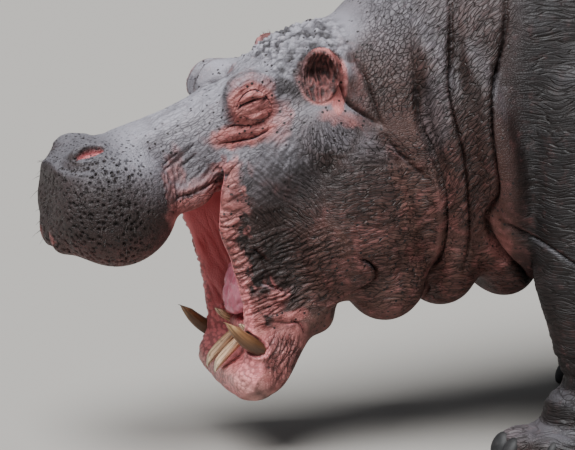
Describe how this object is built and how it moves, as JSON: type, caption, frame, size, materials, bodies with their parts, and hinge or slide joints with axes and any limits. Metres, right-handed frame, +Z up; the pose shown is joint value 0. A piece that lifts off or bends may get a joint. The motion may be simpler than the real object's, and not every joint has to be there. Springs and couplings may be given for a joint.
{
  "type": "hippopotamus",
  "caption": "Life-size common hippopotamus, whole animal, standing in mid stride with its mouth wide open and its eyes narrowed.",
  "frame": {"origin": "middle of the model's box, on the floor under the belly", "axes": "+Z up, the head faces -Y and the tail +Y, the animal's own left is +X"},
  "size_m": [1.1218, 3.449, 1.4294],
  "materials": {
    "hide": "matte, finely wrinkled, nearly hairless skin",
    "bare_skin": "moist pink skin of the tongue",
    "ivory": "stained ivory, satin",
    "eyeball": "wet and dark"
  },
  "bodies": {
    "root": {"head": "hide", "lower_jaw": "hide", "neck": "hide", "trunk": "hide", "foreleg_left": "hide", "foreleg_right": "hide", "hindleg_left": "hide", "hindleg_right": "hide", "tail": "hide", "ear_left": "hide", "ear_right": "hide", "eye_left": "eyeball", "eye_right": "eyeball", "tongue": "bare_skin", "tusk_lower_left": "ivory", "tusk_lower_right": "ivory", "tusk_upper_left": "ivory", "tusk_upper_right": "ivory"}
  },
  "joints": []
}
